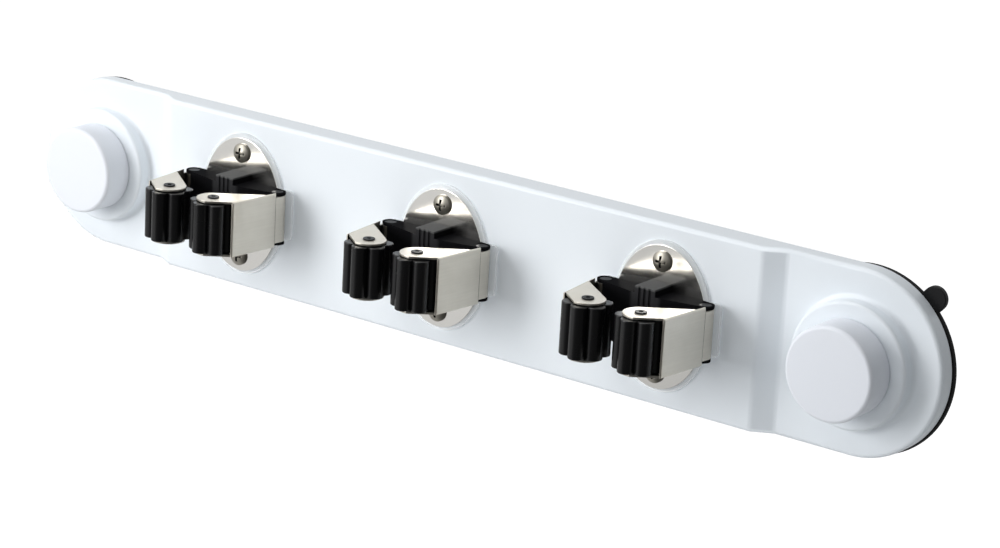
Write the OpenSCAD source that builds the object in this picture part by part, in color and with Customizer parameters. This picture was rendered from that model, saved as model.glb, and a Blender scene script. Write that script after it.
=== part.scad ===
// Wall rack for mops and brooms: three sprung roller clips on a moulded panel that two suction cups hold.
// The wall is the plane Y = 0 and the rack stands out from it along -Y, with X along the rack and Z up.
// A depth is a distance from the wall, so a depth d lies at Y = -d.

/* [Panel] */
// Length of the panel over its round ends
panel_l = 490; // [440:1:560]
// Height of the panel, which is also the width of its round ends
panel_h = 80; // [78:0.5:84]
// Thickness of the flat end plates, from the back rim to the front face
end_t = 7.5; // [6.5:0.1:10]
// Height of the raised middle above the end plates
step_h = 5.25; // [3:0.05:8]
// Length from an end of the panel to the flat front of its raised middle
end_l = 84; // [80:1:92]
// Length of the ramp from the raised middle down to an end plate
ramp_l = 9; // [5:0.5:12]
// Wall of the moulding
wall = 2.5; // [2.2:0.1:3]
// Rounding of the front rim
rim_r = 2; // [1:0.1:2.2]
// Thickness of the ribs behind the panel
rib_t = 1.6; // [1:0.1:2.4]

/* [Knobs] */
// Radius of the round boss under a knob
boss_r = 27; // [24:0.5:28]
// Height of the boss above its end plate
boss_h = 6.8; // [5:0.1:9]
// Radius of a knob
knob_r = 20.2; // [17:0.1:23]
// Height of a knob
knob_h = 14.8; // [13:0.1:18]
// Side wall of a knob
knob_wall = 2; // [1.4:0.1:3]
// Front wall of a knob
knob_front = 2.4; // [1.6:0.1:2.6]
// Width of the knob's nut across its flats
nut_w = 13; // [11:0.5:14]
// Thickness of the nut
nut_t = 6.5; // [5:0.1:7]
// Radius of the washer under a knob
washer_r = 9; // [7:0.5:12]
// Thickness of the washer
washer_t = 1; // [0.6:0.1:1.4]

/* [Suction cups] */
// Radius of a suction cup
cup_r = 41; // [38:0.5:44]
// Thickness of a cup at its rim
cup_t = 3.2; // [2.6:0.1:4.5]
// Width of the flat lip that meets the wall
cup_lip_w = 3; // [2:0.5:6]
// Depth of the hollow under a cup
cup_hollow = 1.4; // [0.8:0.1:2]
// Radius of the hub at the middle of a cup
hub_r = 14; // [12:0.5:18]
// Height of the hub above the back of the cup
hub_h = 4.2; // [3:0.1:4.6]
// Reach of the pull tab past the edge of the cup
tab_l = 7; // [6:0.5:14]
// Width of the pull tab
tab_w = 10.5; // [7:0.5:12]
// Turn of the pull tab up from the right
tab_angle = 48; // [0:1:90]
// Radius of the threaded stud
stud_r = 4; // [3:0.25:5]
// Pull of the stud over one turn of the knob
stud_pull = 2; // [1:0.25:2.5]

/* [Clips] */
// Distance of an outer clip from the end of the raised middle
clip_inset = 46; // [34:1:56]
// Width of the oval base plate
plate_w = 46; // [44:0.5:52]
// Height of the oval base plate
plate_h = 62.6; // [60:0.2:68]
// Thickness of the base plate
plate_t = 1.2; // [0.8:0.1:2]
// Thickness of the clear pad
pad_t = 1.5; // [1:0.1:3]
// Showing edge of the pad round the base plate
pad_edge = 1.7; // [0.5:0.1:2.5]
// Width of the pad over its square ears
pad_ear_w = 58.4; // [54:0.2:64]
// Height of the square ears
pad_ear_h = 23; // [18:0.5:30]
// Distance between the two screws of a clip
screw_pitch = 48.6; // [46:0.2:51]
// Radius of a screw's shank
screw_r = 1.7; // [1.4:0.1:2]
// Length of a screw under its head
screw_l = 14; // [11:0.5:14]
// Radius of a screw's head
screw_head_r = 4.5; // [3.6:0.1:5]

/* [Core] */
// Width of the spine at the middle of the core
spine_w = 10; // [8:0.5:12]
// Height of the spine
spine_h = 30.8; // [27:0.2:36]
// Distance that the spine stands out from the base plate
spine_out = 12; // [11:0.25:15]
// Height of the wings that carry the arms
wing_h = 24.4; // [23:0.2:26]
// Thickness of the hinge ears at the tips of the wings
ear_t = 1.2; // [1.2:0.1:2.2]
// Radius of the hinge ears
ear_r = 3.7; // [3.6:0.1:5]

/* [Arms] */
// Distance between the two hinge pins of a clip
hinge_pitch = 50; // [48:0.5:54]
// Radius of a hinge pin
hinge_pin_r = 2.6; // [2.2:0.1:2.8]
// Thickness of the steel sheet
sheet_t = 1; // [0.8:0.05:1.2]
// Height of an arm over its flanges
arm_h = 25.4; // [24.2:0.2:27]
// Length of the web from the hinge to its front end
web_l = 30.6; // [29:0.2:34]
// Lean of the webs towards each other
toe = 6.5; // [5:0.5:7]
// Distance of a roller's axis in front of the hinge, along the web
reach = 31.2; // [29:0.2:34]
// Radius of the flange round the roller's axis
flange_r = 7.6; // [7:0.1:10.4]
// Distance of the flange's slanted front edge from the roller's axis
flange_cut = 6.9; // [5:0.1:6.9]
// Distance of the flange's rear corner in front of the hinge
flange_start = 9.6; // [8:0.2:12]
// Length of the closing lug behind the hinge
lug_l = 9.5; // [9:0.1:10]
// Height of the closing lug
lug_h = 9; // [7:0.5:11]
// Swing of an arm from rest to wide open
arm_swing = 25; // [10:1:25]

/* [Rollers] */
// Radius of a roller over its lobes
roller_r = 10.7; // [9:0.1:10.9]
// Number of lobes on a roller
lobes = 6; // [5:1:12]
// Radius of a roller's rivet pin
roller_pin_r = 2; // [1.5:0.1:2.4]
// Radius of the rivet pin's heads
rivet_head_r = 2.6; // [2.5:0.1:4]

/* [Springs] */
// Outer radius of a closing spring
spring_r = 2.5; // [2:0.1:2.8]
// Radius of the spring wire
wire_r = 0.35; // [0.25:0.05:0.4]
// Number of turns of a spring
turns = 4; // [3:1:4]
// Distance of a spring inward from its hinge
spring_in = 7; // [6:0.1:7]

/* [Hidden] */
$fn = 64;
// Overrun of a cut past the face that it opens
over = 1;
// Thickness of the slices that a ramp joins
slice = 0.01;
// Gaps between pieces that stay still
seat_gap = 0.03;
loose_gap = 0.3;
// Radial gap of a turning fit
run_gap = 0.05;

// Small sizes of the panel
rib_recess = 0.5;
post_r = 3.8;
post_floor = 0.6;
boss_edge_r = 1.5;
ring_share = 0.82;
rib_place_share = 1 / 3;
rib_pairs = 4;
stud_gap = 0.4;

// Small sizes of the knobs and cups
knob_edge_r = 1.6;
knob_gap = 0.3;
sleeve_wall = 2.4;
stud_past = 1;
stud_tip = 1;
head_sink = 0.2;
head_t = 1.6;
head_wall = 4;
cup_edge = 0.6;
cup_bevel_w = 1.8;
cup_bevel_t = 2.2;
tab_t = 2.6;
tab_lift = 0.6;

// Small sizes of the clips
oval_points = 96;
pad_corner_r = 2;
screw_gap = 0.4;
screw_rim_t = 0.9;
screw_crown = 1.3;
cross_w = 1.1;
cross_l = 5.2;
cross_sink = 1.5;
rivet_r = 1.5;
rivet_pitch = 14;
rivet_end_r = 3;
rivet_end_t = 0.8;
rivet_l = 7;
groove_w = 1.2;
groove_sink = 0.5;
groove_count = 3;
wing_rear_share = 0.8;
pocket_gap = 0.4;
pin_sink = 0.2;
spring_wall = 1.4;
rivet_head_t = 0.6;
rivet_bore_share = 0.5;
roller_gap = 0.3;
roller_side_gap = 0.5;
bite = 0.4;
bend_step = 0.15;
touch_sink = 0.1;
lobe_overlap_share = 1.1;

// Depths from the wall
panel_back = cup_t + loose_gap;
end_front = panel_back + end_t;
middle_front = end_front + step_h;
boss_front = end_front + boss_h;
pad_front = middle_front + pad_t;
plate_front = pad_front + plate_t;
spine_front = plate_front + spine_out;

// Places along the rack
end_x = panel_l / 2 - panel_h / 2;
middle_x = panel_l / 2 - end_l;
middle_l = 2 * middle_x;
ramp_x = middle_x + ramp_l;
clip_pitch = middle_x - clip_inset;
clip_xs = [-clip_pitch, 0, clip_pitch];

// Knob and stud
washer_front = boss_front + washer_t;
sleeve_back = washer_front + seat_gap;
nut_corner_r = nut_w / 2 / cos(30);
knob_back = boss_front + knob_gap;
knob_front_d = knob_back + knob_h;
knob_inside = knob_front_d - knob_front;
lip_r = cup_r - cup_bevel_w;
head_d = cup_t + head_sink;
head_r = stud_r + head_wall;
stud_end = sleeve_back + nut_t + stud_past;

// Arm: its own frame has the hinge axis at the origin and the web along -Y
knuckle_r = hinge_pin_r + run_gap + sheet_t;
web_in = knuckle_r - sheet_t + bend_step;
web_out = web_in + sheet_t;
lug_in = knuckle_r - sheet_t - bend_step;
hinge_x = hinge_pitch / 2;
hinge_d = plate_front + loose_gap + knuckle_r;
ear_room = wing_h / 2 - ear_t;
knuckle_h = 2 * (ear_room - loose_gap);
web_start = ear_r + pocket_gap;
flange_in = arm_h / 2 - sheet_t;
roller_h = 2 * (flange_in - roller_gap);
inset = roller_r + roller_side_gap - web_in;
roller_at = [-inset, -reach];
flange_rear = [web_out, -flange_start];
flange_touch = tangent(flange_rear, roller_at, flange_r - touch_sink, 1);
lobe_share = lobe_overlap_share * sin(180 / lobes);
lobe_r = roller_r * lobe_share / (1 + lobe_share);
lobe_at = roller_r - lobe_r;

// Core: the wing's front edge runs from the spine to the ear
wing_front = tangent([spine_w / 2, -spine_front], [hinge_x, -hinge_d], ear_r - touch_sink, 1);
wing_rear = [hinge_x * wing_rear_share, -plate_front];
wing_rear_touch = tangent(wing_rear, [hinge_x, -hinge_d], ear_r - touch_sink, -1);
spring_x = hinge_x - spring_in;
spring_back = hinge_d - lug_in + loose_gap;
edge_slope = (wing_front[1] + spine_front) / (wing_front[0] - spine_w / 2);
spring_seat = spine_front - edge_slope * (spring_x + spring_r - spine_w / 2) - spring_wall;
lug_sweep = lug_l * sin(arm_swing) - lug_in * cos(arm_swing);
slot_front = hinge_d + max(lug_sweep, 0) + pocket_gap;
slot_l = norm([lug_l, lug_in + sheet_t]) + pocket_gap;

// Spring: one turn has a ring at every step, and every ring has the same sides
ring_steps = 8;
ring_sides = 6;
coil_r = spring_r - wire_r;
coil_l = spring_seat - spring_back - loose_gap - 2 * wire_r;
coil_pitch = coil_l / turns;

// Point where a line from p touches the circle of radius r about c, on the side that side gives
function tangent(p, c, r, side) =
    let (v = p - c, a = atan2(v[1], v[0]) + side * acos(r / norm(v)))
    c + r * [cos(a), sin(a)];

// Outline of an oval
function oval(w, h) =
    [for (i = [0 : oval_points - 1]) let (a = 360 * i / oval_points) [w / 2 * cos(a), h / 2 * sin(a)]];

// Middle line of a coil that climbs along Z
function coil_point(i) =
    let (a = 360 * i / ring_steps)
    [coil_r * cos(a), coil_r * sin(a), coil_pitch * i / ring_steps];

// One ring of the wire: it stands square to the coil's middle line
function coil_ring(i) =
    let (a = 360 * i / ring_steps,
         out = [cos(a), sin(a), 0],
         climb = coil_pitch / (2 * PI * coil_r),
         run = [-sin(a), cos(a), climb] / norm([1, climb]),
         up = cross(run, -out))
    [for (j = [0 : ring_sides - 1]) let (b = 360 * j / ring_sides)
        coil_point(i) + wire_r * (cos(b) * out + sin(b) * up)];

coil_rings = turns * ring_steps;
coil_points = [for (i = [0 : coil_rings]) coil_point(i)];
coil_gaps = [for (i = [0 : coil_rings]) for (j = [i + ring_steps / 2 : coil_rings])
    norm(coil_points[i] - coil_points[j]) - 2 * wire_r];
echo(str("least gap between the turns of a spring: ", min(coil_gaps)));

// Lays a drawing in X and Z at a depth and draws it out towards the front
module from_wall(depth) {
    translate([0, -depth, 0]) rotate([90, 0, 0]) children();
}

// Sweeps a section, drawn in depth and height, along the rack
module along_x(x, length) {
    translate([x, 0, 0]) rotate([0, 90, 0]) rotate([0, 0, -90]) linear_extrude(length) children();
}

// Puts a piece at both ends of the rack or of a clip, the left one mirrored
module both_sides() {
    children();
    mirror([1, 0, 0]) children();
}

// Puts an arm's piece on the right or the left of a clip
module on_side(right) {
    if (right) children();
    else mirror([1, 0, 0]) children();
}

// Section of the panel, rounded at the two front corners
module rim_section(thick) {
    translate([panel_back, -panel_h / 2]) square([thick - rim_r, panel_h]);
    translate([panel_back, -panel_h / 2 + rim_r]) square([thick, panel_h - 2 * rim_r]);
    for (s = [-1, 1])
        translate([panel_back + thick - rim_r, s * (panel_h / 2 - rim_r)]) circle(rim_r);
}

// Profile of a round piece of the given radius and height with a rounded front edge
module round_profile(radius, high, edge) {
    square([radius, high - edge]);
    square([radius - edge, high]);
    translate([radius - edge, high - edge]) circle(edge);
}

// Half of the round end, turned about the knob's axis
module half_round() {
    translate([end_x, 0, 0]) from_wall(panel_back) rotate([0, 0, -90]) rotate_extrude(angle = 180) children();
}

module panel_outer() {
    along_x(-middle_x, middle_l) rim_section(end_t + step_h);
    both_sides() {
        hull() {
            along_x(middle_x - slice, slice) rim_section(end_t + step_h, $fn = 32);
            along_x(ramp_x, slice) rim_section(end_t, $fn = 32);
        }
        along_x(ramp_x, end_x - ramp_x) rim_section(end_t);
        half_round() round_profile(panel_h / 2, end_t, rim_r);
        translate([end_x, 0, 0]) from_wall(end_front - wall / 2) rotate_extrude()
            round_profile(boss_r, boss_h + wall / 2, boss_edge_r);
    }
}

module panel_hollow() {
    linear_extrude(panel_h - 2 * wall, center = true) polygon([
        [-end_x, over - panel_back], [end_x, over - panel_back],
        [end_x, wall - end_front], [ramp_x, wall - end_front],
        [middle_x, wall - middle_front], [-middle_x, wall - middle_front],
        [-ramp_x, wall - end_front], [-end_x, wall - end_front]
    ]);
    both_sides() {
        translate([0, over, 0]) half_round() square([panel_h / 2 - wall, end_t + over - wall]);
        translate([end_x, 0, 0]) from_wall(panel_back) cylinder(r = boss_r - wall, h = end_t + boss_h - wall);
    }
}

module panel_ribs() {
    rib_d = middle_front - wall / 2 - panel_back - rib_recess;
    rib_h = panel_h - wall;
    for (i = [0 : 2 * rib_pairs - 1])
        translate([(i - rib_pairs + 0.5) * clip_pitch * rib_place_share - rib_t / 2,
                   wall / 2 - middle_front, -rib_h / 2])
            cube([rib_t, rib_d, rib_h]);
    translate([-middle_x, wall / 2 - middle_front, -rib_t / 2]) cube([middle_l, rib_d, rib_t]);
}

module screw_places() {
    for (x = clip_xs)
        for (s = [-1, 1])
            translate([x, 0, s * screw_pitch / 2]) children();
}

module panel() {
    post_back = panel_back + rib_recess;
    ring_r = panel_h / 2 * ring_share;
    color("whitesmoke") difference() {
        union() {
            difference() {
                panel_outer();
                panel_hollow();
            }
            panel_ribs();
            screw_places() from_wall(post_back) cylinder(r = post_r, h = middle_front - wall / 2 - post_back);
            both_sides() translate([end_x, 0, 0]) from_wall(panel_back) difference() {
                cylinder(r = ring_r, h = end_t - wall / 2);
                translate([0, 0, -over]) cylinder(r = ring_r - rib_t, h = end_t + 2 * over);
            }
        }
        screw_places() from_wall(plate_front - screw_l - post_floor)
            cylinder(r = screw_r + seat_gap, h = screw_l + post_floor);
        both_sides() translate([end_x, 0, 0]) from_wall(boss_front - wall - over)
            cylinder(r = stud_r + stud_gap, h = wall + 2 * over);
    }
}

module suction_cup(x) {
    color("black") translate([x, 0, 0]) difference() {
        union() {
            from_wall(0) rotate_extrude() polygon([
                [0, cup_hollow], [hub_r, cup_hollow], [lip_r - cup_lip_w, 0], [lip_r, 0],
                [cup_r, cup_bevel_t], [cup_r, cup_t - cup_edge], [cup_r - cup_edge, cup_t],
                [hub_r, cup_t], [hub_r, cup_t + hub_h], [0, cup_t + hub_h]
            ]);
            rotate([0, -tab_angle, 0]) from_wall(tab_lift) {
                translate([lip_r - cup_lip_w, -tab_w / 2, 0])
                    cube([cup_r + tab_l - tab_w / 2 - lip_r + cup_lip_w, tab_w, tab_t]);
                translate([cup_r + tab_l - tab_w / 2, 0, 0]) cylinder(d = tab_w, h = tab_t);
            }
        }
        from_wall(head_d - run_gap) cylinder(r = head_r + run_gap, h = head_t + 2 * run_gap);
        from_wall(head_d) cylinder(r = stud_r + run_gap, h = cup_t + hub_h + over - head_d);
    }
}

module cup_stud(x) {
    color("silver") translate([x, 0, 0]) {
        from_wall(head_d) cylinder(r = head_r, h = head_t);
        from_wall(head_d) cylinder(r = stud_r, h = stud_end - stud_tip - head_d);
        from_wall(stud_end - stud_tip) cylinder(r1 = stud_r, r2 = stud_r - stud_tip, h = stud_tip);
    }
}

module knob(x) {
    sleeve_r = nut_corner_r + sleeve_wall;
    color("white") translate([x, 0, 0]) difference() {
        from_wall(knob_back) rotate_extrude() round_profile(knob_r, knob_h, knob_edge_r);
        from_wall(knob_back - over) difference() {
            cylinder(r = knob_r - knob_wall, h = knob_inside + over - knob_back);
            translate([0, 0, over + sleeve_back - knob_back]) cylinder(r = sleeve_r, h = knob_h);
        }
        from_wall(sleeve_back - over)
            cylinder(r = nut_corner_r + seat_gap, h = nut_t + seat_gap + over, $fn = 6);
        from_wall(sleeve_back) cylinder(r = stud_r + stud_gap, h = knob_inside - sleeve_back);
    }
}

module knob_nut(x) {
    color("goldenrod") translate([x, 0, 0]) from_wall(sleeve_back) difference() {
        cylinder(r = nut_corner_r, h = nut_t, $fn = 6);
        translate([0, 0, -over]) cylinder(r = stud_r + run_gap, h = nut_t + 2 * over);
    }
}

module knob_washer(x) {
    color("gainsboro") translate([x, 0, 0]) from_wall(boss_front) difference() {
        cylinder(r = washer_r, h = washer_t);
        translate([0, 0, -over]) cylinder(r = stud_r + stud_gap, h = washer_t + 2 * over);
    }
}

// Places of a clip's two screws and of its two core rivets, drawn out towards the front
module upper_and_lower(pitch, depth) {
    for (s = [-1, 1])
        translate([0, 0, s * pitch / 2]) from_wall(depth) children();
}

module clip_pad(x) {
    color("lightcyan", 0.4) translate([x, 0, 0]) difference() {
        from_wall(middle_front) linear_extrude(pad_t) {
            polygon(oval(plate_w + 2 * pad_edge, plate_h + 2 * pad_edge));
            square([pad_ear_w - 2 * pad_corner_r, pad_ear_h], center = true);
            square([pad_ear_w, pad_ear_h - 2 * pad_corner_r], center = true);
            for (i = [-1, 1])
                for (j = [-1, 1])
                    translate([i * (pad_ear_w / 2 - pad_corner_r), j * (pad_ear_h / 2 - pad_corner_r)])
                        circle(pad_corner_r);
        }
        upper_and_lower(screw_pitch, middle_front - over)
            cylinder(r = screw_r + screw_gap, h = pad_t + 2 * over);
        upper_and_lower(rivet_pitch, middle_front - over)
            cylinder(r = rivet_end_r + screw_gap, h = pad_t + 2 * over);
    }
}

module clip_plate(x) {
    color("silver") translate([x, 0, 0]) difference() {
        from_wall(pad_front) linear_extrude(plate_t) polygon(oval(plate_w, plate_h));
        upper_and_lower(screw_pitch, pad_front - over)
            cylinder(r = screw_r + screw_gap, h = plate_t + 2 * over);
        upper_and_lower(rivet_pitch, pad_front - over)
            cylinder(r = rivet_r + seat_gap, h = plate_t + 2 * over);
    }
}

module clip_screws(x) {
    crown_r = (screw_head_r * screw_head_r + screw_crown * screw_crown) / (2 * screw_crown);
    head_h = screw_rim_t + screw_crown;
    color("gray") translate([x, 0, 0]) upper_and_lower(screw_pitch, plate_front) difference() {
        union() {
            translate([0, 0, -screw_l]) cylinder(r = screw_r, h = screw_l + screw_rim_t);
            intersection() {
                cylinder(r = screw_head_r, h = head_h + over);
                translate([0, 0, head_h - crown_r]) sphere(crown_r);
            }
        }
        for (a = [0, 90])
            rotate([0, 0, a]) translate([-cross_l / 2, -cross_w / 2, head_h - cross_sink])
                cube([cross_l, cross_w, cross_sink + over]);
    }
}

module clip_core(x) {
    color([0.1, 0.1, 0.11]) translate([x, 0, 0]) difference() {
        union() {
            translate([-spine_w / 2, -spine_front, -spine_h / 2]) cube([spine_w, spine_out, spine_h]);
            translate([0, 0, -wing_h / 2]) both_sides() {
                linear_extrude(wing_h) polygon([
                    [0, -plate_front], [0, -spine_front], [spine_w / 2, -spine_front], wing_front,
                    [hinge_x, -hinge_d], wing_rear_touch, wing_rear
                ]);
                translate([hinge_x, -hinge_d, 0]) cylinder(r = ear_r, h = wing_h);
            }
        }
        translate([-hinge_pitch, -plate_front, -wing_h]) cube([2 * hinge_pitch, plate_front, 2 * wing_h]);
        both_sides() {
            translate([hinge_x, -hinge_d, -ear_room]) {
                cylinder(r = knuckle_r + pocket_gap, h = 2 * ear_room);
                translate([0, -spine_out, 0]) cube([ear_r + over, 2 * spine_out, 2 * ear_room]);
            }
            translate([hinge_x - slot_l, -slot_front, -lug_h / 2 - pocket_gap])
                cube([slot_l, slot_front - plate_front + over, lug_h + 2 * pocket_gap]);
            translate([spring_x, 0, 0]) from_wall(plate_front)
                cylinder(r = spring_r + pocket_gap, h = spring_seat - plate_front);
            translate([hinge_x, -hinge_d, -wing_h / 2 - over])
                cylinder(r = hinge_pin_r + seat_gap, h = wing_h + 2 * over);
        }
        upper_and_lower(rivet_pitch, plate_front - over)
            cylinder(r = rivet_r + seat_gap, h = rivet_l + seat_gap + over);
        for (i = [1 : groove_count])
            translate([(i / (groove_count + 1) - 0.5) * spine_w - groove_w / 2,
                       -spine_front - over, -spine_h])
                cube([groove_w, groove_sink + over, 2 * spine_h]);
    }
}

module clip_core_rivets(x) {
    color("silver") translate([x, 0, 0]) {
        upper_and_lower(rivet_pitch, pad_front - rivet_end_t) cylinder(r = rivet_end_r, h = rivet_end_t);
        upper_and_lower(rivet_pitch, pad_front - rivet_end_t)
            cylinder(r = rivet_r, h = rivet_end_t + plate_t + rivet_l);
    }
}

module clip_hinge_pins(x) {
    pin_l = wing_h - 2 * pin_sink;
    color("dimgray") translate([x, 0, 0]) both_sides()
        translate([hinge_x, -hinge_d, -pin_l / 2]) cylinder(r = hinge_pin_r, h = pin_l);
}

// One flange of the right arm, in the arm's own frame
module arm_flange() {
    difference() {
        union() {
            translate(roller_at) cylinder(r = flange_r, h = sheet_t);
            linear_extrude(sheet_t)
                polygon([flange_rear, flange_touch, roller_at, [web_out, -reach - flange_cut]]);
        }
        translate(roller_at) rotate([0, 0, -45]) translate([flange_cut, -reach, -over])
            cube([reach, 2 * reach, sheet_t + 2 * over]);
        translate(concat(roller_at, -over)) cylinder(r = roller_pin_r + seat_gap, h = sheet_t + 2 * over);
    }
}

module clip_arm(x, right) {
    color("lightgray") translate([x, 0, 0]) on_side(right) translate([hinge_x, -hinge_d, 0]) difference() {
        union() {
            rotate([0, 0, -toe]) {
                translate([web_in, -web_l, -arm_h / 2]) cube([sheet_t, web_l - web_start, arm_h]);
                translate([web_in, -web_start - bite, touch_sink - knuckle_h / 2])
                    cube([sheet_t, web_start + bite, knuckle_h - 2 * touch_sink]);
                translate([0, 0, flange_in]) arm_flange();
                translate([0, 0, -arm_h / 2]) arm_flange();
            }
            translate([0, 0, -knuckle_h / 2]) cylinder(r = knuckle_r, h = knuckle_h);
            translate([-lug_l, lug_in, -lug_h / 2]) cube([lug_l, sheet_t, lug_h]);
        }
        translate([0, 0, -knuckle_h]) cylinder(r = hinge_pin_r + run_gap, h = 2 * knuckle_h);
    }
}

// Puts a piece on the axis of a clip's roller
module at_roller(x, right) {
    translate([x, 0, 0]) on_side(right) translate([hinge_x, -hinge_d, 0]) rotate([0, 0, -toe])
        translate(roller_at) children();
}

module clip_roller(x, right) {
    color([0.08, 0.08, 0.09]) at_roller(x, right) translate([0, 0, -roller_h / 2]) difference() {
        union() {
            cylinder(r = lobe_at, h = roller_h);
            for (i = [0 : lobes - 1])
                let (a = 360 * (i + 0.5) / lobes)
                    translate([lobe_at * cos(a), lobe_at * sin(a), 0]) cylinder(r = lobe_r, h = roller_h);
        }
        translate([0, 0, -over]) cylinder(r = roller_pin_r + run_gap, h = roller_h + 2 * over);
    }
}

module clip_roller_pin(x, right) {
    color("dimgray") at_roller(x, right) difference() {
        union() {
            translate([0, 0, -arm_h / 2]) cylinder(r = roller_pin_r, h = arm_h);
            translate([0, 0, arm_h / 2]) cylinder(r = rivet_head_r, h = rivet_head_t);
            translate([0, 0, -arm_h / 2 - rivet_head_t]) cylinder(r = rivet_head_r, h = rivet_head_t);
        }
        translate([0, 0, -arm_h]) cylinder(r = roller_pin_r * rivet_bore_share, h = 2 * arm_h);
    }
}

module clip_spring(x, right) {
    rings = [for (i = [0 : coil_rings]) each coil_ring(i)];
    sides = [for (i = [0 : coil_rings - 1]) for (j = [0 : ring_sides - 1])
        let (k = (j + 1) % ring_sides, a = i * ring_sides, b = a + ring_sides)
        each [[a + j, b + k, a + k], [a + j, b + j, b + k]]];
    last = coil_rings * ring_sides;
    caps = [for (j = [1 : ring_sides - 2]) each [[0, j, j + 1], [last, last + j + 1, last + j]]];
    color("slategray") translate([x, 0, 0]) on_side(right) translate([spring_x, 0, 0])
        from_wall(spring_back + wire_r) polyhedron(rings, concat(sides, caps));
}

// A clip's nodes share a name and a place along the rack
module clip(name, x) {
    clip_pad(x);
    clip_plate(x);
    clip_screws(x);
    clip_core(x);
    clip_core_rivets(x);
    clip_hinge_pins(x);
    for (right = [false, true]) {
        side = right ? "_right" : "_left";
        clip_arm(x, right);
        clip_roller(x, right);
        clip_roller_pin(x, right);
        clip_spring(x, right);
    }
}

// An end's nodes share a name and a place along the rack
module suction_end(name, x) {
    suction_cup(x);
    cup_stud(x);
    knob(x);
    knob_nut(x);
    knob_washer(x);
}

panel();
suction_end("left", -end_x);
suction_end("right", end_x);
clip("left_clip", clip_xs[0]);
clip("middle_clip", clip_xs[1]);
clip("right_clip", clip_xs[2]);
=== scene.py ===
"""Dresses the wall mop holder rack.

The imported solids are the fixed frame. The panel, knobs, cups, arms, rollers and springs are modelled here in
millimetres and stand for their solids, the other visible pieces are softened copies of theirs, and the hidden
ones stay as they are with a finish of their own.
"""

from __future__ import annotations

import logging
import math
from dataclasses import dataclass, field
from enum import Enum
from functools import cache
from typing import Callable, Sequence

import bmesh
import bpy
from mathutils import Matrix, Vector


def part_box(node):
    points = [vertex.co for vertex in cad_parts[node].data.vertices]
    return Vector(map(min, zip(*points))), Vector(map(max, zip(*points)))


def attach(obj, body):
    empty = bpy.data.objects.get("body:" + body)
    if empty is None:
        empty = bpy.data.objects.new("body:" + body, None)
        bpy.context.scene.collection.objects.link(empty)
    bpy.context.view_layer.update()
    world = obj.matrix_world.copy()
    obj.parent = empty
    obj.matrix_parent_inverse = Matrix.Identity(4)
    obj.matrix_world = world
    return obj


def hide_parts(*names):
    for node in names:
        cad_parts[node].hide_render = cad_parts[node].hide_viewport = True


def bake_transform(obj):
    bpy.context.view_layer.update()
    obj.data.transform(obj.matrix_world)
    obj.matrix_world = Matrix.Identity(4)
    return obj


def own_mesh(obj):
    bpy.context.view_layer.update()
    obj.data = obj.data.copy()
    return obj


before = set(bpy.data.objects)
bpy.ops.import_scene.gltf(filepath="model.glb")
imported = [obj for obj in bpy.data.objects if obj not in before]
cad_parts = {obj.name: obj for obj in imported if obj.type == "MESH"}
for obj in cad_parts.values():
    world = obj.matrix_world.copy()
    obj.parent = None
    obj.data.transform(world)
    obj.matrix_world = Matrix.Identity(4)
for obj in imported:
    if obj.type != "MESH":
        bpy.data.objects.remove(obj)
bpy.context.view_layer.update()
LOG = logging.getLogger("rack")

Point = tuple[float, float, float]
Pair = tuple[float, float]
Socket = bpy.types.NodeSocket
Picker = Callable[[bmesh.types.BMEdge], bool]

MM = 0.001
# Distances in millimetres along the rack: from its middle to an end's axis, and from clip to clip
END_X = 205.0
CLIP_PITCH = 115.0
# Lengths in millimetres under which two places count as one
TIGHT, NEAR, LOOSE = 1e-4, 1e-3, 1e-2
# Turn in degrees over which an edge of a piece modelled here is rounded
SHARP = 60.0
# Turn in degrees over which shading breaks at an edge, and a copied solid's edge is rounded
BREAK = 38.0
# The same for pieces whose rounds are made of wide flats
ROUND_BREAK = 50.0
# Weight of large faces in the shading of the roundings beside them
FACE_WEIGHT = 60
# Part of a noise mask over which the gloss goes from one end to the other
MASK_SPAN = (0.3, 0.7)
WHITE = (1.0, 1.0, 1.0, 1.0)


class Side(Enum):
    """The two sides of the rack or of a clip, with the sign of X there."""

    LEFT = -1
    RIGHT = 1

    @property
    def word(self) -> str:
        """The side's name as the nodes spell it."""
        return self.name.lower()


class Axis(Enum):
    """The axis that a profile is turned about."""

    WALL = (0.0, 1.0, 0.0)
    UPRIGHT = (0.0, 0.0, 1.0)


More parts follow.
